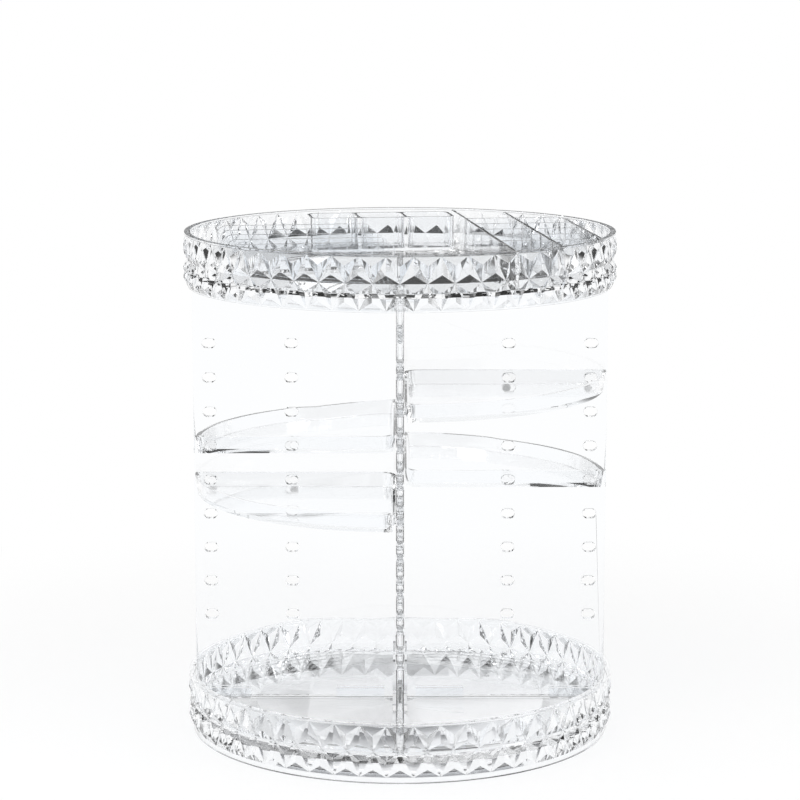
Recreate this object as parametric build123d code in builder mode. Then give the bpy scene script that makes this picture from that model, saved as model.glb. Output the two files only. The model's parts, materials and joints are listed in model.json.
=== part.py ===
"""A clear carousel organizer: two faceted round trays joined by four slotted panels, with
quarter-round shelves hung in the slots, lift-out racks in the top tray, and a ball-bearing
turntable under the bottom tray.

Millimetres, +Z up. The origin is on the turning axis, where the feet meet the table.
The front of the organizer faces -Y.
"""

from build123d import *
import os
from math import cos, pi, radians, sin, sqrt, tan

os.makedirs("parts", exist_ok=True)

# ---------------------------------------------------------------- driving dimensions (mm)

# Faceted rim, the same on both trays: two rows of triangles, each a low three-sided pyramid
rim_peak_radius = 115.0
facet_relief = 1.9
rim_wall = 1.9
rim_lip_setback = 0.7
rim_skirt_setback = 0.5
facet_columns = 52
facet_row_height = 13.5
rim_lip_height = 1.0

# Bottom tray
bottom_tray_table_gap = 1.6
bottom_band_height = 3.4
bottom_floor_thickness = 3.4
bottom_recess_wall = 3.1
tray_corner_radius = 1.6

# Top tray
top_floor_thickness = 2.2
top_skirt_drop = 7.0
top_band_height = 0.8

# Divider panels, set in a cross: name and bearing of each
panels = [("panel_front", -90), ("panel_right", 0), ("panel_rear", 90), ("panel_left", 180)]
panel_thickness = 4.0
panel_height = 234.5
panel_rim_gap = 0.3
panel_inner_radius = 2.5
panel_corner_radius = 3.0
panel_edge_radius = 1.2

# Slots in the panels, in two columns
slot_height = 5.0
slot_rows = 9
first_row_height = 46.5
top_row_drop = 39.2
slot_column_inset = 9.9
slot_column_spacing = 44.0

# Ribs that hold the panels' edges on both trays
socket_rib_thickness = 1.8
socket_rib_height = 5.6
socket_rib_length = 26.0
socket_rib_rim_gap = 4.0
socket_rib_axis_gap = 3.0
socket_fit = 0.15
lift_off_clearance = 0.3

# Shelves
shelf_setback = 0.9
shelf_panel_gap = 0.3
shelf_lip_height = 9.3
shelf_wall = 2.2
shelf_floor = 2.2
shelf_draft = 8.0
shelf_inner_corner = 8.0
shelf_outer_corner = 2.0
shelf_cavity_corner = 3.0
peg_radius = 2.2
peg_reach = 1.8
peg_slot_allowance = 0.6
# slot rows that the shelves hang in, counted from the bottom
front_right_row = 8
rear_right_row = 5
rear_left_row = 6
front_left_row = 5

# Lift-out racks in the top tray, all turned together from the panels' cross
rack_turn = 8.0
rack_rim_gap = 0.4
rack_top_drop = 0.6
rack_wall = 1.8
rack_base = 1.6

lipstick_pitch = 27.0
lipstick_rows = 4
lipstick_columns = 2
lipstick_rim_strip = 12.9

brush_wells = 3
brush_well_pitch = 26.2
brush_well_corner = 6.0
brush_rim_gap = 10.0
brush_side_gap = 3.2

compact_slot_pitch = 22.0
compact_slots = 4
compact_bay_share = 0.48
compact_rear_gap = 28.0
compact_rim_gap = 3.0
compact_fin_corner = 5.0

# Turntable
foot_stand = 0.8
foot_depth = 1.4
foot_radius = 7.0
foot_count = 6
foot_inset = 13.0
base_radius = 85.0
base_plate_thickness = 2.2
base_edge_radius = 0.8
turntable_setback = 7.0
turntable_thickness = 2.5

ball_radius = 2.0
ball_count = 24
ball_groove_gap = 0.2
bearing_setback = 20.0
race_width = 12.0
race_height = 2.0
race_gap = 2.2
race_seat = 0.6
cage_width = 9.0
cage_thickness = 1.4

pivot_radius = 3.0
pivot_head_radius = 6.0
pivot_head_height = 1.1
pivot_tip_gap = 0.4
pivot_press_fit = 0.02
pivot_running_fit = 0.05
hub_radius = 9.0
hub_gap = 0.3
hub_well_radius = 8.0
hub_well_depth = 2.3
washer_outer_radius = 7.0
washer_thickness = 0.6
washer_fit = 0.15
washer_float = 0.1
clip_outer_radius = 5.5
clip_thickness = 0.7
clip_groove_depth = 0.65
clip_opening = 3.6

screw_count = 4
screw_edge_distance = 9.0
screw_angle = 45.0
screw_shank_radius = 1.25
screw_hole_radius = 1.6
screw_head_radius = 2.8
screw_head_height = 1.5
screw_tray_depth = 2.4
screw_drive_width = 0.7
screw_drive_length = 3.0
screw_drive_depth = 0.9
access_hole_radius = 5.0

# ---------------------------------------------------------------- sizes worked out from these

rim_valley_radius = rim_peak_radius - facet_relief
rim_lip_radius = rim_peak_radius - rim_lip_setback
rim_skirt_radius = rim_valley_radius - rim_skirt_setback
rim_inner_radius = rim_valley_radius - rim_wall

turntable_radius = base_radius - turntable_setback
bearing_pitch_radius = turntable_radius - bearing_setback
screw_circle_radius = turntable_radius - screw_edge_distance

base_bottom = foot_stand
base_top = base_bottom + base_plate_thickness
lower_race_top = base_top + race_height
ball_height = lower_race_top + race_gap / 2
upper_race_bottom = lower_race_top + race_gap
turntable_bottom = upper_race_bottom + race_height
turntable_top = turntable_bottom + turntable_thickness

bottom_floor_top = turntable_top + bottom_floor_thickness
bottom_tips = bottom_tray_table_gap + bottom_band_height
rim_height = 2 * facet_row_height + rim_lip_height
bottom_rim_top = bottom_tips + rim_height

top_floor_underside = bottom_floor_top + panel_height
top_floor_top = top_floor_underside + top_floor_thickness
top_skirt_bottom = top_floor_underside - top_skirt_drop
top_tips = top_skirt_bottom + top_band_height
top_rim_top = top_tips + rim_height

panel_outer_radius = rim_inner_radius - panel_rim_gap
slot_pitch = (panel_height - first_row_height - top_row_drop) / (slot_rows - 1)
slot_outer_column = panel_outer_radius - slot_column_inset
slot_inner_column = slot_outer_column - slot_column_spacing
slot_travel = peg_reach + peg_slot_allowance

rack_radius = rim_inner_radius - rack_rim_gap
rack_bottom = top_floor_top
rack_top = top_rim_top - rack_top_drop
lipstick_outer_wall = rim_inner_radius - lipstick_rim_strip
lipstick_inner_wall = lipstick_outer_wall - lipstick_columns * lipstick_pitch
compact_bay_width = compact_bay_share * rim_inner_radius


def slot_row_height(row):
    """Height of a slot row's centre, rows counted from 1 at the bottom."""
    return bottom_floor_top + first_row_height + (row - 1) * slot_pitch


def turned_plane(height, angle):
    """A level plane through the axis, its X turned to the given angle in degrees."""
    turn = radians(angle)
    return Plane(origin=(0, 0, height), x_dir=(cos(turn), sin(turn), 0), z_dir=(0, 0, 1))


def rack_plane(height):
    """A level plane turned with the lift-out racks."""
    return turned_plane(height, rack_turn)


# ---------------------------------------------------------------- faceted rim


def rim_point(column, height, radius):
    """A point of the rim at a column number, half columns allowed; column 0 is at the front."""
    angle = 2 * pi * column / facet_columns - pi / 2
    return Vector(radius * cos(angle), radius * sin(angle), height)


def pyramid_faces(column_a, height_a, column_b, height_b, column_c, height_c):
    """The three outward faces of a low pyramid on a triangle of the rim's lattice."""
    columns = (column_a, column_b, column_c)
    heights = (height_a, height_b, height_c)
    base = [rim_point(c, h, rim_valley_radius) for c, h in zip(columns, heights)]
    peak = rim_point(sum(columns) / 3, sum(heights) / 3, rim_peak_radius)
    edges = ((0, 1), (1, 2), (2, 0))
    return [Face(Wire.make_polygon([base[i], base[j], peak])) for i, j in edges]


def faceted_drum(tips):
    """A solid drum whose side is two rows of triangular pyramids above the given height."""
    stars = tips + facet_row_height
    top = stars + facet_row_height
    faces = []
    for k in range(facet_columns):
        faces += pyramid_faces(k - 0.5, tips, k + 0.5, tips, k, stars)
        faces += pyramid_faces(k, stars, k + 0.5, tips, k + 1, stars)
        faces += pyramid_faces(k, stars, k + 1, stars, k + 0.5, top)
        faces += pyramid_faces(k - 0.5, top, k, stars, k + 0.5, top)
    for height in (tips, top):
        ring = [rim_point(k + 0.5, height, rim_valley_radius) for k in range(facet_columns)]
        faces.append(Face(Wire.make_polygon(ring)))
    return Solid(Shell(faces))


def socket_ribs(plane, fit):
    """Sketch the pairs of ribs beside each panel, near the rim and near the axis."""
    rib_offset = panel_thickness / 2 + fit + socket_rib_thickness / 2
    outer_middle = rim_inner_radius - socket_rib_rim_gap - socket_rib_length / 2
    inner_start = panel_inner_radius + socket_rib_axis_gap + rib_offset
    inner_middle = inner_start + socket_rib_length / 2
    with BuildSketch(plane) as ribs:
        for middle in (outer_middle, inner_middle):
            with PolarLocations(middle, len(panels)):
                with Locations((0, rib_offset), (0, -rib_offset)):
                    Rectangle(socket_rib_length, socket_rib_thickness)
    return ribs.sketch


# ---------------------------------------------------------------- bottom tray

same_height = 0.01
bottom_recess_radius = rim_skirt_radius - bottom_recess_wall

with BuildPart() as bottom_tray:
    add(faceted_drum(bottom_tips))
    with BuildSketch(Plane.XY.offset(bottom_rim_top - rim_lip_height)):
        Circle(rim_lip_radius)
    extrude(amount=rim_lip_height)
    with BuildSketch(Plane.XY.offset(bottom_tray_table_gap)):
        Circle(rim_skirt_radius)
    extrude(amount=bottom_band_height)
    # the space above the floor
    with BuildSketch(Plane.XY.offset(bottom_floor_top)):
        Circle(rim_inner_radius)
    extrude(amount=bottom_rim_top - bottom_floor_top, mode=Mode.SUBTRACT)
    floor_rim = bottom_tray.faces().filter_by(Axis.Z).filter_by(
        lambda f: abs(f.center().Z - bottom_floor_top) < same_height
    )
    fillet(floor_rim.edges().filter_by(GeomType.CIRCLE), tray_corner_radius)
    # the recess under the floor, over the turntable
    with BuildSketch(Plane.XY.offset(bottom_tray_table_gap)):
        Circle(bottom_recess_radius)
    extrude(amount=turntable_top - bottom_tray_table_gap, mode=Mode.SUBTRACT)
    # ribs that hold the panels' lower edges
    lower_ribs = socket_ribs(Plane.XY.offset(bottom_floor_top), socket_fit)
    extrude(lower_ribs, amount=socket_rib_height)
    # blind holes for the turntable's screws
    with BuildSketch(Plane.XY.offset(turntable_top)):
        with PolarLocations(screw_circle_radius, screw_count, start_angle=screw_angle):
            Circle(screw_shank_radius)
    extrude(amount=screw_tray_depth, mode=Mode.SUBTRACT)
bottom_tray.part.label = "bottom_tray"
export_step(bottom_tray.part, "parts/bottom_tray.step")

# ---------------------------------------------------------------- top tray

with BuildPart() as top_tray:
    add(faceted_drum(top_tips))
    with BuildSketch(Plane.XY.offset(top_rim_top - rim_lip_height)):
        Circle(rim_lip_radius)
    extrude(amount=rim_lip_height)
    with BuildSketch(Plane.XY.offset(top_skirt_bottom)):
        Circle(rim_skirt_radius)
    extrude(amount=top_band_height)
    # the space above the floor
    with BuildSketch(Plane.XY.offset(top_floor_top)):
        Circle(rim_inner_radius)
    extrude(amount=top_rim_top - top_floor_top, mode=Mode.SUBTRACT)
    floor_rim = top_tray.faces().filter_by(Axis.Z).filter_by(
        lambda f: abs(f.center().Z - top_floor_top) < same_height
    )
    fillet(floor_rim.edges().filter_by(GeomType.CIRCLE), rack_rim_gap)
    # the space under the floor, round the panels' upper ends
    with BuildSketch(Plane.XY.offset(top_skirt_bottom)):
        Circle(rim_inner_radius)
    extrude(amount=top_skirt_drop, mode=Mode.SUBTRACT)
    # ribs that hold the panels' upper edges
    upper_ribs = socket_ribs(Plane.XY.offset(top_floor_underside), lift_off_clearance)
    extrude(upper_ribs, amount=-socket_rib_height)
top_tray.part.label = "top_tray"
export_step(top_tray.part, "parts/top_tray.step")

# ---------------------------------------------------------------- divider panels


def divider_panel(angle):
    """An upright panel from near the axis to the rim, with its columns of slots."""
    turn = radians(angle)
    outward = Vector(cos(turn), sin(turn), 0)
    side = Plane(
        origin=(0, 0, bottom_floor_top),
        x_dir=outward,
        z_dir=(sin(turn), -cos(turn), 0),
    ).offset(-panel_thickness / 2)
    middle = (panel_inner_radius + panel_outer_radius) / 2
    with BuildPart() as panel:
        with BuildSketch(side) as outline:
            with Locations((middle, panel_height / 2)):
                Rectangle(panel_outer_radius - panel_inner_radius, panel_height)
            fillet(outline.vertices().sort_by(Axis.X)[-2:], panel_corner_radius)
            slots = []
            for row in range(1, slot_rows + 1):
                height = slot_row_height(row) - bottom_floor_top
                slots.append((slot_outer_column + slot_travel / 2, height))
                slots.append((slot_inner_column + slot_travel / 2, height))
            with Locations(slots):
                SlotCenterToCenter(slot_travel, slot_height, mode=Mode.SUBTRACT)
        extrude(amount=panel_thickness)
        uprights = panel.edges().filter_by(Axis.Z)
        outer = uprights.filter_by(lambda e: e.center().dot(outward) > middle)
        fillet(outer, panel_edge_radius)
    return panel


for panel_name, panel_angle in panels:
    panel = divider_panel(panel_angle)
    panel.part.label = panel_name
    export_step(panel.part, f"parts/{panel_name}.step")

# ---------------------------------------------------------------- shelves

shelf_side = panel_thickness / 2 + shelf_panel_gap
shelf_radius = panel_outer_radius - shelf_setback


def shelf_outline(plane, inset, inner_corner, outer_corner):
    """Sketch the quarter-round outline of a shelf, drawn in from its edge by inset."""
    side = shelf_side + inset
    radius = shelf_radius - inset
    with BuildSketch(plane) as outline:
        Circle(radius)
        with Locations((side, side)):
            Rectangle(radius, radius, align=(Align.MIN, Align.MIN), mode=Mode.INTERSECT)
        corners = outline.vertices().sort_by_distance((0, 0, plane.origin.Z))
        fillet(corners[0], inner_corner)
        corners = outline.vertices().sort_by_distance((0, 0, plane.origin.Z))
        fillet(corners[-2:], outer_corner)
    return outline.sketch


def quarter_shelf(angle, row):
    """A dished quarter-round shelf with four pegs, hung in a row of slots."""
    peg_height = slot_row_height(row)
    bottom = peg_height - shelf_lip_height / 2
    top = bottom + shelf_lip_height
    plane = turned_plane(top, angle)
    first = Vector(cos(radians(angle)), sin(radians(angle)), 0)
    second = Vector(-first.Y, first.X, 0)
    slant = shelf_lip_height / 2 * tan(radians(shelf_draft))
    peg_start = panel_thickness / 2 - peg_reach
    peg_end = shelf_side + slant + shelf_wall / 2
    with BuildPart() as shelf:
        outside = shelf_outline(plane, 0, shelf_inner_corner, shelf_outer_corner)
        extrude(outside, amount=-shelf_lip_height, taper=shelf_draft)
        cavity_corner = shelf_inner_corner - shelf_wall
        inside = shelf_outline(plane, shelf_wall, cavity_corner, shelf_cavity_corner)
        cavity_depth = shelf_lip_height - shelf_floor
        extrude(inside, amount=-cavity_depth, taper=shelf_draft, mode=Mode.SUBTRACT)
        # pegs that point into the panels on both sides
        for along, across in ((first, second), (second, first)):
            for column in (slot_outer_column, slot_inner_column):
                start = along * column + across * peg_start
                peg_plane = Plane(origin=(start.X, start.Y, peg_height), z_dir=across)
                with BuildSketch(peg_plane):
                    Circle(peg_radius)
                extrude(amount=peg_end - peg_start)
    return shelf


shelves = [
    ("shelf_front_right", -90, front_right_row),
    ("shelf_rear_right", 0, rear_right_row),
    ("shelf_rear_left", 90, rear_left_row),
    ("shelf_front_left", 180, front_left_row),
]

for shelf_name, shelf_angle, shelf_row in shelves:
    shelf = quarter_shelf(shelf_angle, shelf_row)
    shelf.part.label = shelf_name
    export_step(shelf.part, f"parts/{shelf_name}.step")

# ---------------------------------------------------------------- lift-out racks

lipstick_depth = lipstick_rows * lipstick_pitch

with BuildPart() as lipstick_rack:
    with BuildSketch(rack_plane(rack_bottom)):
        # long walls from rim to rim
        for column in range(lipstick_columns + 1):
            with Locations((lipstick_inner_wall + column * lipstick_pitch, 0)):
                Rectangle(rack_wall, 2 * rack_radius)
        # cross walls between them
        for row in range(lipstick_rows + 1):
            middle = (lipstick_inner_wall + lipstick_outer_wall) / 2
            with Locations((middle, row * lipstick_pitch - lipstick_depth / 2)):
                Rectangle(lipstick_columns * lipstick_pitch, rack_wall)
        Circle(rack_radius, mode=Mode.INTERSECT)
    extrude(amount=rack_top - rack_bottom)
lipstick_rack.part.label = "lipstick_rack"
export_step(lipstick_rack.part, "parts/lipstick_rack.step")

brush_width = brush_wells * brush_well_pitch + rack_wall
brush_depth = brush_well_pitch + rack_wall
brush_right = lipstick_inner_wall - rack_wall / 2 - brush_side_gap
brush_centre = brush_right - brush_width / 2
brush_reach = max(abs(brush_right), abs(brush_right - brush_width))
brush_rear = sqrt(rack_radius**2 - brush_reach**2) - brush_rim_gap
brush_middle = brush_rear - brush_depth / 2

with BuildPart() as brush_holder:
    with BuildSketch(rack_plane(rack_bottom)):
        with Locations((brush_centre, brush_middle)):
            RectangleRounded(brush_width, brush_depth, brush_well_corner)
    extrude(amount=rack_top - rack_bottom)
    with BuildSketch(rack_plane(rack_bottom + rack_base)):
        with Locations((brush_centre, brush_middle)):
            with GridLocations(brush_well_pitch, 0, brush_wells, 1):
                well = brush_well_pitch - rack_wall
                RectangleRounded(well, well, brush_well_corner - rack_wall)
    extrude(amount=rack_top - rack_bottom, mode=Mode.SUBTRACT)
brush_holder.part.label = "brush_holder"
export_step(brush_holder.part, "parts/brush_holder.step")

compact_depth = compact_slots * compact_slot_pitch + rack_wall
compact_rear = brush_middle - brush_depth / 2 - compact_rear_gap
compact_front = compact_rear - compact_depth
compact_reach = max(abs(compact_front), abs(compact_rear))
compact_left = -sqrt(rack_radius**2 - compact_reach**2) + compact_rim_gap
compact_right = lipstick_inner_wall - rack_wall / 2 - compact_bay_width
compact_length = compact_right - compact_left
compact_centre = (compact_left + compact_right) / 2
compact_middle = (compact_front + compact_rear) / 2

with BuildPart() as compact_rack:
    with BuildSketch(rack_plane(rack_bottom)):
        with Locations((compact_centre, compact_middle)):
            Rectangle(compact_length, compact_depth)
    extrude(amount=rack_base)
    fin_height = rack_top - rack_bottom
    for fin in range(compact_slots + 1):
        fin_front = compact_front + fin * compact_slot_pitch
        turn = radians(rack_turn)
        fin_origin = (-fin_front * sin(turn), fin_front * cos(turn), rack_bottom)
        fin_plane = Plane(
            origin=fin_origin,
            x_dir=(cos(turn), sin(turn), 0),
            z_dir=(sin(turn), -cos(turn), 0),
        )
        with BuildSketch(fin_plane) as fin_sketch:
            with Locations((compact_centre, fin_height / 2)):
                Rectangle(compact_length, fin_height)
            fillet(fin_sketch.vertices().group_by(Axis.Z)[-1], compact_fin_corner)
        extrude(amount=-rack_wall)
compact_rack.part.label = "compact_rack"
export_step(compact_rack.part, "parts/compact_rack.step")

# ---------------------------------------------------------------- turntable base

foot_circle_radius = base_radius - foot_inset
base_hub_top = (base_top + turntable_bottom - hub_gap) / 2

with BuildPart() as base_plate:
    with BuildSketch(Plane.XY.offset(base_bottom)):
        Circle(base_radius)
    extrude(amount=base_plate_thickness)
    fillet(base_plate.edges().filter_by(GeomType.CIRCLE), base_edge_radius)
    with BuildSketch(Plane.XY.offset(base_bottom)):
        Circle(hub_radius)
    extrude(amount=base_hub_top - base_bottom)
    # seats for the feet, the race and the pivot's head
    with BuildSketch(Plane.XY.offset(base_bottom)):
        with PolarLocations(foot_circle_radius, foot_count):
            Circle(foot_radius)
    extrude(amount=foot_depth - foot_stand, mode=Mode.SUBTRACT)
    with BuildSketch(Plane.XY.offset(base_top - race_seat)):
        Circle(bearing_pitch_radius + race_width / 2)
        Circle(bearing_pitch_radius - race_width / 2, mode=Mode.SUBTRACT)
    extrude(amount=race_seat, mode=Mode.SUBTRACT)
    with BuildSketch(Plane.XY.offset(base_bottom)):
        Circle(pivot_head_radius)
    extrude(amount=pivot_head_height, mode=Mode.SUBTRACT)
    with BuildSketch(Plane.XY.offset(base_bottom)):
        Circle(pivot_radius + pivot_press_fit)
    extrude(amount=base_hub_top - base_bottom, mode=Mode.SUBTRACT)
    # a hole to reach the turntable's screws through
    with BuildSketch(turned_plane(base_bottom, screw_angle)):
        with Locations((screw_circle_radius, 0)):
            Circle(access_hole_radius)
    extrude(amount=base_plate_thickness, mode=Mode.SUBTRACT)
base_plate.part.label = "base_plate"
export_step(base_plate.part, "parts/base_plate.step")

with BuildPart() as rubber_feet:
    with BuildSketch(Plane.XY):
        with PolarLocations(foot_circle_radius, foot_count):
            Circle(foot_radius)
    extrude(amount=foot_depth)
rubber_feet.part.label = "rubber_feet"
export_step(rubber_feet.part, "parts/rubber_feet.step")

# ---------------------------------------------------------------- bearing

groove_radius = ball_radius + ball_groove_gap
groove_plane = Plane(origin=(0, 0, 0), x_dir=(1, 0, 0), z_dir=(0, -1, 0))


def bearing_race(bottom, top):
    """A flat ring between two heights, with the balls' groove cut round it."""
    with BuildPart() as race:
        with BuildSketch(Plane.XY.offset(bottom)):
            Circle(bearing_pitch_radius + race_width / 2)
            Circle(bearing_pitch_radius - race_width / 2, mode=Mode.SUBTRACT)
        extrude(amount=top - bottom)
        with BuildSketch(groove_plane):
            with Locations((bearing_pitch_radius, ball_height)):
                Circle(groove_radius)
        revolve(axis=Axis.Z, mode=Mode.SUBTRACT)
    return race


lower_race = bearing_race(base_top - race_seat, lower_race_top)
lower_race.part.label = "lower_race"
export_step(lower_race.part, "parts/lower_race.step")

upper_race = bearing_race(upper_race_bottom, turntable_bottom + race_seat)
upper_race.part.label = "upper_race"
export_step(upper_race.part, "parts/upper_race.step")

with BuildPart() as ball:
    with BuildSketch(groove_plane):
        with Locations((bearing_pitch_radius, ball_height)):
            Circle(ball_radius)
        with Locations((bearing_pitch_radius - ball_radius, ball_height)):
            Rectangle(2 * ball_radius, 2 * ball_radius, mode=Mode.SUBTRACT)
    ball_axis = Axis((bearing_pitch_radius, 0, ball_height), (0, 0, 1))
    revolve(axis=ball_axis)
one_ball = ball.part

with BuildPart() as bearing_balls:
    with PolarLocations(0, ball_count):
        add(one_ball)
bearing_balls.part.label = "bearing_balls"
export_step(bearing_balls.part, "parts/bearing_balls.step")

with BuildPart() as ball_cage:
    with BuildSketch(Plane.XY.offset(ball_height - cage_thickness / 2)):
        Circle(bearing_pitch_radius + cage_width / 2)
        Circle(bearing_pitch_radius - cage_width / 2, mode=Mode.SUBTRACT)
        with PolarLocations(bearing_pitch_radius, ball_count):
            Circle(groove_radius, mode=Mode.SUBTRACT)
    extrude(amount=cage_thickness)
ball_cage.part.label = "ball_cage"
export_step(ball_cage.part, "parts/ball_cage.step")

# ---------------------------------------------------------------- turntable plate and pivot

hub_bottom = base_hub_top + hub_gap
hub_well_floor = turntable_top - hub_well_depth

with BuildPart() as turntable_plate:
    with BuildSketch(Plane.XY.offset(turntable_bottom)):
        Circle(turntable_radius)
    extrude(amount=turntable_thickness)
    with BuildSketch(Plane.XY.offset(hub_bottom)):
        Circle(hub_radius)
    extrude(amount=turntable_bottom - hub_bottom)
    with BuildSketch(Plane.XY.offset(turntable_bottom)):
        Circle(bearing_pitch_radius + race_width / 2)
        Circle(bearing_pitch_radius - race_width / 2, mode=Mode.SUBTRACT)
    extrude(amount=race_seat, mode=Mode.SUBTRACT)
    with BuildSketch(Plane.XY.offset(hub_well_floor)):
        Circle(hub_well_radius)
    extrude(amount=hub_well_depth, mode=Mode.SUBTRACT)
    with BuildSketch(Plane.XY.offset(hub_bottom)):
        Circle(pivot_radius + pivot_running_fit)
    extrude(amount=turntable_top - hub_bottom, mode=Mode.SUBTRACT)
    with Locations(Location((0, 0, turntable_bottom), (180, 0, 0))):
        with PolarLocations(screw_circle_radius, screw_count, start_angle=screw_angle):
            CounterSinkHole(
                radius=screw_hole_radius,
                counter_sink_radius=screw_head_radius,
                depth=turntable_thickness,
            )
turntable_plate.part.label = "turntable_plate"
export_step(turntable_plate.part, "parts/turntable_plate.step")

washer_bottom = hub_well_floor + washer_float
washer_top = washer_bottom + washer_thickness
clip_bottom = washer_top
clip_top = clip_bottom + clip_thickness
pivot_top = turntable_top - pivot_tip_gap
clip_groove_radius = pivot_radius - clip_groove_depth

with BuildPart() as pivot_pin:
    with BuildSketch(Plane.XY.offset(base_bottom)):
        Circle(pivot_head_radius)
    extrude(amount=pivot_head_height)
    with BuildSketch(Plane.XY.offset(base_bottom)):
        Circle(pivot_radius)
    extrude(amount=pivot_top - base_bottom)
    with BuildSketch(Plane.XY.offset(clip_bottom)):
        Circle(clip_outer_radius)
        Circle(clip_groove_radius, mode=Mode.SUBTRACT)
    extrude(amount=clip_thickness, mode=Mode.SUBTRACT)
pivot_pin.part.label = "pivot_pin"
export_step(pivot_pin.part, "parts/pivot_pin.step")

with BuildPart() as thrust_washer:
    with BuildSketch(Plane.XY.offset(washer_bottom)):
        Circle(washer_outer_radius)
        Circle(pivot_radius + washer_fit, mode=Mode.SUBTRACT)
    extrude(amount=washer_thickness)
thrust_washer.part.label = "thrust_washer"
export_step(thrust_washer.part, "parts/thrust_washer.step")

with BuildPart() as retaining_clip:
    with BuildSketch(Plane.XY.offset(clip_bottom)):
        Circle(clip_outer_radius)
        Circle(clip_groove_radius, mode=Mode.SUBTRACT)
        with Locations((clip_outer_radius, 0)):
            Rectangle(2 * clip_outer_radius, clip_opening, mode=Mode.SUBTRACT)
    extrude(amount=clip_thickness)
retaining_clip.part.label = "retaining_clip"
export_step(retaining_clip.part, "parts/retaining_clip.step")

# ---------------------------------------------------------------- screws

screw_tip = turntable_top + screw_tray_depth

with BuildPart() as screw:
    with BuildSketch(groove_plane):
        with BuildLine():
            Polyline(
                (0, turntable_bottom),
                (screw_head_radius, turntable_bottom),
                (screw_shank_radius, turntable_bottom + screw_head_height),
                (screw_shank_radius, screw_tip - screw_shank_radius / 2),
                (screw_shank_radius / 2, screw_tip),
                (0, screw_tip),
                close=True,
            )
        make_face()
    revolve(axis=Axis.Z)
    with BuildSketch(Plane.XY.offset(turntable_bottom)):
        Rectangle(screw_drive_length, screw_drive_width)
        Rectangle(screw_drive_width, screw_drive_length)
    extrude(amount=screw_drive_depth, mode=Mode.SUBTRACT)
one_screw = screw.part

with BuildPart() as plate_screws:
    with PolarLocations(screw_circle_radius, screw_count, start_angle=screw_angle):
        add(one_screw)
plate_screws.part.label = "plate_screws"
export_step(plate_screws.part, "parts/plate_screws.step")
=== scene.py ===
"""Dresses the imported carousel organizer: clear acrylic trays, panels, shelves and racks over a
ball-bearing turntable, on a white studio floor. Metres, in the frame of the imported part."""

import json
from math import radians

import bpy
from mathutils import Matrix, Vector

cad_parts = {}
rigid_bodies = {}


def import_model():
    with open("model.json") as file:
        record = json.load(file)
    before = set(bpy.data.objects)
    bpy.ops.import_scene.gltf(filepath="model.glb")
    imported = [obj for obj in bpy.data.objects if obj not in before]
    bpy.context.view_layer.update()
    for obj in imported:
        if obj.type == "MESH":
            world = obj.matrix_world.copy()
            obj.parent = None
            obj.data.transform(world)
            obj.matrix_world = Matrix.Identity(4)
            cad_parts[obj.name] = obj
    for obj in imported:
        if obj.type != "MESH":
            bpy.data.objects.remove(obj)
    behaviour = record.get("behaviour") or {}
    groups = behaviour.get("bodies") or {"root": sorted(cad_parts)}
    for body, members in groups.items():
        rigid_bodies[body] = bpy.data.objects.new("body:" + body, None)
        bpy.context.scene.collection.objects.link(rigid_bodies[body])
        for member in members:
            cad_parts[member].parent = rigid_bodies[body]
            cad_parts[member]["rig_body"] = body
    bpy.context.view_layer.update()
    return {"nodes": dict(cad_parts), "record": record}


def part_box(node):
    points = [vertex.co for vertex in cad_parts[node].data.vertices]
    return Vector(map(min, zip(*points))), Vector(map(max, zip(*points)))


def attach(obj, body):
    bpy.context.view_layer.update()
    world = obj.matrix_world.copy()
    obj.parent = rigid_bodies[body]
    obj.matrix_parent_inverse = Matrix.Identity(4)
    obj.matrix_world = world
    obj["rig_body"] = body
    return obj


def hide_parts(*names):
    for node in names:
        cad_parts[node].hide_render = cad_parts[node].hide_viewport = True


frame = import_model()

WHITE = (1.0, 1.0, 1.0, 1.0)

# ---------------------------------------------------------------- node helpers

# most of a noise texture's values lie between these two
NOISE_LOW = 0.3
NOISE_HIGH = 0.7


def new_material(name):
    """An empty node material and its tree, with the output node placed."""
    material = bpy.data.materials.new(name)
    material.use_nodes = True
    tree = material.node_tree
    tree.nodes.clear()
    output = tree.nodes.new("ShaderNodeOutputMaterial")
    return material, tree, output


def object_noise(tree, scale, detail, roughness):
    """A noise texture on the piece's own coordinates, in cells per metre."""
    place = tree.nodes.new("ShaderNodeTexCoord")
    noise = tree.nodes.new("ShaderNodeTexNoise")
    noise.inputs["Scale"].default_value = scale
    noise.inputs["Detail"].default_value = detail
    noise.inputs["Roughness"].default_value = roughness
    tree.links.new(place.outputs["Object"], noise.inputs["Vector"])
    return noise.outputs["Fac"]


def spread(tree, noise, low, high):
    """Maps the common values of a noise texture to low to high."""
    span = tree.nodes.new("ShaderNodeMapRange")
    span.inputs["From Min"].default_value = NOISE_LOW
    span.inputs["From Max"].default_value = NOISE_HIGH
    span.inputs["To Min"].default_value = low
    span.inputs["To Max"].default_value = high
    tree.links.new(noise, span.inputs["Value"])
    return span.outputs["Result"]


def relief(tree, shader, noise, strength, depth):
    """Raises and sinks a shader's surface by a noise texture, up to a depth."""
    bump = tree.nodes.new("ShaderNodeBump")
    bump.inputs["Strength"].default_value = strength
    bump.inputs["Distance"].default_value = depth
    tree.links.new(noise, bump.inputs["Height"])
    tree.links.new(bump.outputs["Normal"], shader.inputs["Normal"])


def any_ray(tree, path, *kinds):
    """1 where a ray is of one of the kinds that a light path node names, and 0 elsewhere."""
    found = path.outputs[kinds[0]]
    for kind in kinds[1:]:
        either = tree.nodes.new("ShaderNodeMath")
        either.operation = "MAXIMUM"
        tree.links.new(found, either.inputs[0])
        tree.links.new(path.outputs[kind], either.inputs[1])
        found = either.outputs["Value"]
    return found


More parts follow.
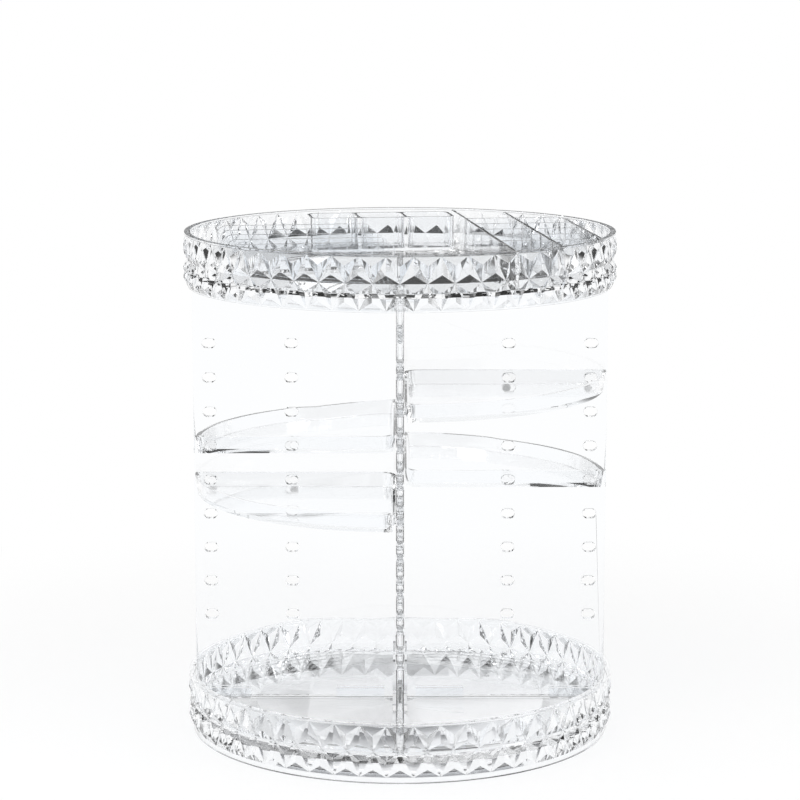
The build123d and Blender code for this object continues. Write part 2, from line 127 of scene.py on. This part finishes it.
def blend(tree, share, first, second):
    """The first shader, giving way to the second as the share goes from 0 to 1."""
    mix = tree.nodes.new("ShaderNodeMixShader")
    tree.links.new(share, mix.inputs["Fac"])
    tree.links.new(first, mix.inputs[1])
    tree.links.new(second, mix.inputs[2])
    return mix.outputs["Shader"]


# ---------------------------------------------------------------- clear acrylic

ACRYLIC_COLOUR = (0.985, 0.992, 1.0, 1.0)
ACRYLIC_IOR = 1.49
PASSING_LIGHT = (0.99, 0.992, 0.994, 1.0)


def clear_acrylic():
    """Polished moulded acrylic: faint handling marks in its gloss and a slow moulding ripple."""
    material, tree, output = new_material("clear_acrylic")
    shader = tree.nodes.new("ShaderNodeBsdfPrincipled")
    shader.inputs["Base Color"].default_value = ACRYLIC_COLOUR
    shader.inputs["Transmission Weight"].default_value = 1.0
    shader.inputs["IOR"].default_value = ACRYLIC_IOR
    marks = object_noise(tree, scale=60.0, detail=4.0, roughness=0.6)
    gloss = spread(tree, marks, 0.0, 0.015)
    tree.links.new(gloss, shader.inputs["Roughness"])
    ripple = object_noise(tree, scale=25.0, detail=1.0, roughness=0.4)
    relief(tree, shader, ripple, strength=0.05, depth=0.0005)
    # shadow and diffuse rays go through, so that light reaches the floor and the pieces behind
    path = tree.nodes.new("ShaderNodeLightPath")
    passing = any_ray(tree, path, "Is Shadow Ray", "Is Diffuse Ray")
    through = tree.nodes.new("ShaderNodeBsdfTransparent")
    through.inputs["Color"].default_value = PASSING_LIGHT
    surface = blend(tree, passing, shader.outputs["BSDF"], through.outputs["BSDF"])
    tree.links.new(surface, output.inputs["Surface"])
    return material


# ---------------------------------------------------------------- opaque finishes

GRAIN_DETAIL = 5.0
GRAIN_ROUGHNESS = 0.55
GRAIN_DEPTH = 0.0001


def opaque_finish(name, colour, metallic, low_gloss, high_gloss, grain_scale, grain_strength):
    """An opaque finish with a fine grain in its gloss and its surface."""
    material, tree, output = new_material(name)
    shader = tree.nodes.new("ShaderNodeBsdfPrincipled")
    shader.inputs["Base Color"].default_value = (*colour, 1.0)
    shader.inputs["Metallic"].default_value = metallic
    grain = object_noise(tree, grain_scale, GRAIN_DETAIL, GRAIN_ROUGHNESS)
    gloss = spread(tree, grain, low_gloss, high_gloss)
    tree.links.new(gloss, shader.inputs["Roughness"])
    relief(tree, shader, grain, grain_strength, GRAIN_DEPTH)
    tree.links.new(shader.outputs["BSDF"], output.inputs["Surface"])
    return material


def base_plastic():
    """Pale milky moulding of the two turntable plates."""
    return opaque_finish("base_plastic", (0.93, 0.93, 0.935), 0.0, 0.25, 0.4, 700.0, 0.1)


def foot_rubber():
    """Soft grey anti-slip pads."""
    return opaque_finish("foot_rubber", (0.55, 0.56, 0.57), 0.0, 0.55, 0.75, 900.0, 0.3)


def bearing_steel():
    """Ground steel of the balls and their races."""
    return opaque_finish("bearing_steel", (0.62, 0.63, 0.65), 1.0, 0.18, 0.3, 1200.0, 0.15)


def pin_steel():
    """Bright turned steel of the pivot pin, its clip and the screws."""
    return opaque_finish("pin_steel", (0.7, 0.7, 0.71), 1.0, 0.22, 0.36, 900.0, 0.15)


def cage_plastic():
    """Satin off-white plastic of the ball cage and the thrust washer."""
    return opaque_finish("cage_plastic", (0.86, 0.86, 0.86), 0.0, 0.4, 0.55, 700.0, 0.2)


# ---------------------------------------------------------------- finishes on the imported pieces

finish_of_slot = {
    "clear_acrylic": clear_acrylic(),
    "base_plastic": base_plastic(),
    "foot_rubber": foot_rubber(),
    "bearing_steel": bearing_steel(),
    "pin_steel": pin_steel(),
    "cage_plastic": cage_plastic(),
}
slot_of_node = {entry["node"]: entry["material_slot"] for entry in frame["record"]["subparts"]}
for name, slot in slot_of_node.items():
    frame["nodes"][name].data.materials.clear()
    frame["nodes"][name].data.materials.append(finish_of_slot[slot])

# ---------------------------------------------------------------- clear pieces with polished edges

# resting faces of two clear pieces are kept apart by a film of air, or they would show black
AIR_FILM = 0.00005
TRAY_EDGE = 0.00022
PLATE_EDGE = 0.0002

MERGE_DISTANCE = 1e-6
LEVEL_TOLERANCE = 2e-6
LEVEL_NORMAL = 0.999
FLAT_ANGLE = radians(0.2)
SOFT_EDGE_ANGLE = radians(16)
SOFT_EDGE_SEGMENTS = 2
FACET_SHADE_ANGLE = radians(15)
SHADE_ANGLE = radians(20)


def select_level_faces(mesh, height):
    """Selects the faces of a mesh that lie level at a height, and no others."""
    for face in mesh.polygons:
        at_height = abs(face.center.z - height) < LEVEL_TOLERANCE
        face.select = at_height and abs(face.normal.z) > LEVEL_NORMAL


def merge_flat_faces():
    """Joins the loose triangles of the mesh in edit mode into flat faces, all facing outwards."""
    bpy.ops.mesh.select_mode(type="FACE")
    bpy.ops.mesh.select_all(action="SELECT")
    bpy.ops.mesh.remove_doubles(threshold=MERGE_DISTANCE)
    bpy.ops.mesh.dissolve_limited(angle_limit=FLAT_ANGLE)
    bpy.ops.mesh.select_all(action="SELECT")
    bpy.ops.mesh.normals_make_consistent(inside=False)
    bpy.ops.mesh.select_all(action="DESELECT")


def soften_edges(piece, edge_width, faceted):
    """Rounds the sharp edges by a narrow bevel; on a faceted piece the shading of the bevels runs
    into the flat facets without bending them."""
    if faceted:
        bpy.ops.object.shade_smooth_by_angle(angle=FACET_SHADE_ANGLE)
    bevel = piece.modifiers.new("soft_edges", "BEVEL")
    bevel.width = edge_width
    bevel.segments = SOFT_EDGE_SEGMENTS
    bevel.limit_method = "ANGLE"
    bevel.angle_limit = SOFT_EDGE_ANGLE
    bevel.use_clamp_overlap = True
    bevel.harden_normals = faceted
    bpy.ops.object.modifier_apply(modifier="soft_edges")
    if not faceted:
        bpy.ops.object.shade_smooth_by_angle(angle=SHADE_ANGLE)


def polished(name, edge_width, lifts=(), faceted=False):
    """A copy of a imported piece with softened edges, shown in its place. Each lift is the height of
    a level face and how far that face moves."""
    source = frame["nodes"][name]
    piece = bpy.data.objects.new(f"{name}_polished", source.data.copy())
    bpy.context.scene.collection.objects.link(piece)
    bpy.ops.object.select_all(action="DESELECT")
    piece.select_set(True)
    bpy.context.view_layer.objects.active = piece
    bpy.ops.mesh.customdata_custom_splitnormals_clear()
    bpy.ops.object.mode_set(mode="EDIT")
    merge_flat_faces()
    for height, shift in lifts:
        bpy.ops.object.mode_set(mode="OBJECT")
        select_level_faces(piece.data, height)
        bpy.ops.object.mode_set(mode="EDIT")
        bpy.ops.transform.translate(value=(0, 0, shift))
        bpy.ops.mesh.select_all(action="DESELECT")
    bpy.ops.object.mode_set(mode="OBJECT")
    soften_edges(piece, edge_width, faceted)
    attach(piece, source["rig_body"])
    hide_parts(name)


def polished_trays():
    """The two round trays with their star-cut rims."""
    for name in ("bottom_tray", "top_tray"):
        polished(name, TRAY_EDGE, faceted=True)


def polished_panels():
    """The four slotted divider panels, a film of air clear of both trays."""
    tray_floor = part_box("panel_front")[0].z
    tray_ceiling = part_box("panel_front")[1].z
    lifts = ((tray_floor, AIR_FILM), (tray_ceiling, -AIR_FILM))
    for name in ("panel_front", "panel_right", "panel_rear", "panel_left"):
        polished(name, PLATE_EDGE, lifts)


def polished_shelves():
    """The four quarter-round shelves."""
    for side in ("front_right", "rear_right", "rear_left", "front_left"):
        polished(f"shelf_{side}", PLATE_EDGE)


def polished_racks():
    """The three lift-out racks, a film of air clear of the top tray's floor."""
    rack_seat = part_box("lipstick_rack")[0].z
    for name in ("lipstick_rack", "brush_holder", "compact_rack"):
        polished(name, PLATE_EDGE, ((rack_seat, AIR_FILM),))


polished_trays()
polished_panels()
polished_shelves()
polished_racks()

# ---------------------------------------------------------------- floor

FLOOR_SIZE = 30.0
FLOOR_COLOUR = (0.92, 0.92, 0.92, 1.0)
# distance from the turning axis over which the floor goes from shaded to plain white
SHADED_FLOOR_RADIUS = 0.16
WHITE_FLOOR_RADIUS = 0.5


def white_floor_finish():
    """Matt white near the organizer, for its shadow, and plain white further out."""
    material, tree, output = new_material("white_floor")
    paper = tree.nodes.new("ShaderNodeBsdfDiffuse")
    paper.inputs["Color"].default_value = FLOOR_COLOUR
    glow = tree.nodes.new("ShaderNodeEmission")
    glow.inputs["Color"].default_value = WHITE
    place = tree.nodes.new("ShaderNodeTexCoord")
    distance = tree.nodes.new("ShaderNodeVectorMath")
    distance.operation = "LENGTH"
    tree.links.new(place.outputs["Object"], distance.inputs[0])
    far = tree.nodes.new("ShaderNodeMapRange")
    far.interpolation_type = "SMOOTHSTEP"
    far.inputs["From Min"].default_value = SHADED_FLOOR_RADIUS
    far.inputs["From Max"].default_value = WHITE_FLOOR_RADIUS
    tree.links.new(distance.outputs["Value"], far.inputs["Value"])
    path = tree.nodes.new("ShaderNodeLightPath")
    seen = any_ray(tree, path, "Is Camera Ray", "Is Transmission Ray", "Is Glossy Ray")
    share = tree.nodes.new("ShaderNodeMath")
    share.operation = "MULTIPLY"
    tree.links.new(far.outputs["Result"], share.inputs[0])
    tree.links.new(seen, share.inputs[1])
    surface = blend(tree, share.outputs["Value"], paper.outputs["BSDF"], glow.outputs["Emission"])
    tree.links.new(surface, output.inputs["Surface"])
    return material


def studio_floor():
    """The level floor that the feet stand on."""
    bpy.ops.object.select_all(action="DESELECT")
    bpy.ops.mesh.primitive_plane_add(size=FLOOR_SIZE, location=(0, 0, 0))
    floor = bpy.context.object
    floor.name = "studio_floor"
    floor.data.materials.append(white_floor_finish())


studio_floor()

# ---------------------------------------------------------------- studio walls

# grey levels of the studio behind the white sweep, by the sine of the height above the horizon:
# dark flags and white cards, seen only in and through the clear pieces
STUDIO_BANDS = (
    (0.0, 1.0),
    (0.055, 1.0),
    (0.075, 0.02),
    (0.132, 0.02),
    (0.15, 1.0),
    (0.26, 1.0),
    (0.36, 0.05),
    (0.52, 0.03),
    (0.6, 0.9),
    (0.7, 0.9),
    (0.78, 0.1),
    (1.0, 0.6),
)
SKY_STRENGTH = 0.8


def studio_bands(tree):
    """The grey level of the studio in the direction looked at."""
    place = tree.nodes.new("ShaderNodeTexCoord")
    split = tree.nodes.new("ShaderNodeSeparateXYZ")
    tree.links.new(place.outputs["Generated"], split.inputs["Vector"])
    bands = tree.nodes.new("ShaderNodeValToRGB")
    bands.color_ramp.interpolation = "EASE"
    while len(bands.color_ramp.elements) < len(STUDIO_BANDS):
        bands.color_ramp.elements.new(0.5)
    for element, (height, level) in zip(bands.color_ramp.elements, STUDIO_BANDS):
        element.position = height
        element.color = (level, level, level, 1.0)
    tree.links.new(split.outputs["Z"], bands.inputs["Fac"])
    return bands.outputs["Color"]


def studio_world():
    """Plain white to the camera, bands in the clear pieces, and even light on everything."""
    world = bpy.data.worlds.new("studio")
    bpy.context.scene.world = world
    world.use_nodes = True
    tree = world.node_tree
    tree.nodes.clear()
    output = tree.nodes.new("ShaderNodeOutputWorld")
    seen_sky = tree.nodes.new("ShaderNodeBackground")
    seen_sky.inputs["Color"].default_value = WHITE
    glass_sky = tree.nodes.new("ShaderNodeBackground")
    tree.links.new(studio_bands(tree), glass_sky.inputs["Color"])
    light_sky = tree.nodes.new("ShaderNodeBackground")
    light_sky.inputs["Color"].default_value = WHITE
    light_sky.inputs["Strength"].default_value = SKY_STRENGTH
    path = tree.nodes.new("ShaderNodeLightPath")
    in_glass = any_ray(tree, path, "Is Glossy Ray", "Is Transmission Ray")
    unseen = blend(tree, in_glass, light_sky.outputs["Background"], glass_sky.outputs["Background"])
    sky = blend(tree, path.outputs["Is Camera Ray"], unseen, seen_sky.outputs["Background"])
    tree.links.new(sky, output.inputs["Surface"])


studio_world()

# ---------------------------------------------------------------- lamps

# the middle of the organizer
LAMP_AIM = (0, 0, 0.14)


def soft_box(name, place, width, height, watts):
    """A rectangular studio lamp at a place, turned to the organizer."""
    lamp = bpy.data.lights.new(name, "AREA")
    lamp.shape = "RECTANGLE"
    lamp.size = width
    lamp.size_y = height
    lamp.energy = watts
    holder = bpy.data.objects.new(name, lamp)
    bpy.context.scene.collection.objects.link(holder)
    holder.location = place
    direction = Vector(LAMP_AIM) - Vector(place)
    holder.rotation_euler = direction.to_track_quat("-Z", "Y").to_euler()


soft_box("key_lamp", (-1.2, -1.1, 1.5), width=0.7, height=1.0, watts=14.0)
soft_box("fill_lamp", (1.4, -0.6, 1.0), width=0.5, height=1.0, watts=6.0)

# ---------------------------------------------------------------- camera

CAMERA_PLACE = (0.0, -1.430, 0.4311)
# degrees that the camera looks down, from the ellipses of the two rims
CAMERA_DIP = 9.98
LENS_LENGTH = 121.8
SENSOR_WIDTH = 36.0
CLIP_DISTANCE = 60.0


def photo_camera():
    """The camera at the photograph's angle."""
    lens = bpy.data.cameras.new("photo_camera")
    lens.sensor_width = SENSOR_WIDTH
    lens.lens = LENS_LENGTH
    lens.clip_end = CLIP_DISTANCE
    camera = bpy.data.objects.new("photo_camera", lens)
    bpy.context.scene.collection.objects.link(camera)
    camera.location = CAMERA_PLACE
    camera.rotation_euler = (radians(90 - CAMERA_DIP), 0.0, 0.0)
    bpy.context.scene.camera = camera


photo_camera()

# ---------------------------------------------------------------- light paths and view

# a ray crosses many clear walls, one behind the other
CLEAR_WALL_BOUNCES = 20
SHADOW_WALL_BOUNCES = 64

cycles = bpy.context.scene.cycles
cycles.max_bounces = CLEAR_WALL_BOUNCES
cycles.transmission_bounces = CLEAR_WALL_BOUNCES
cycles.glossy_bounces = CLEAR_WALL_BOUNCES
cycles.transparent_max_bounces = SHADOW_WALL_BOUNCES

bpy.context.scene.view_settings.view_transform = "Standard"
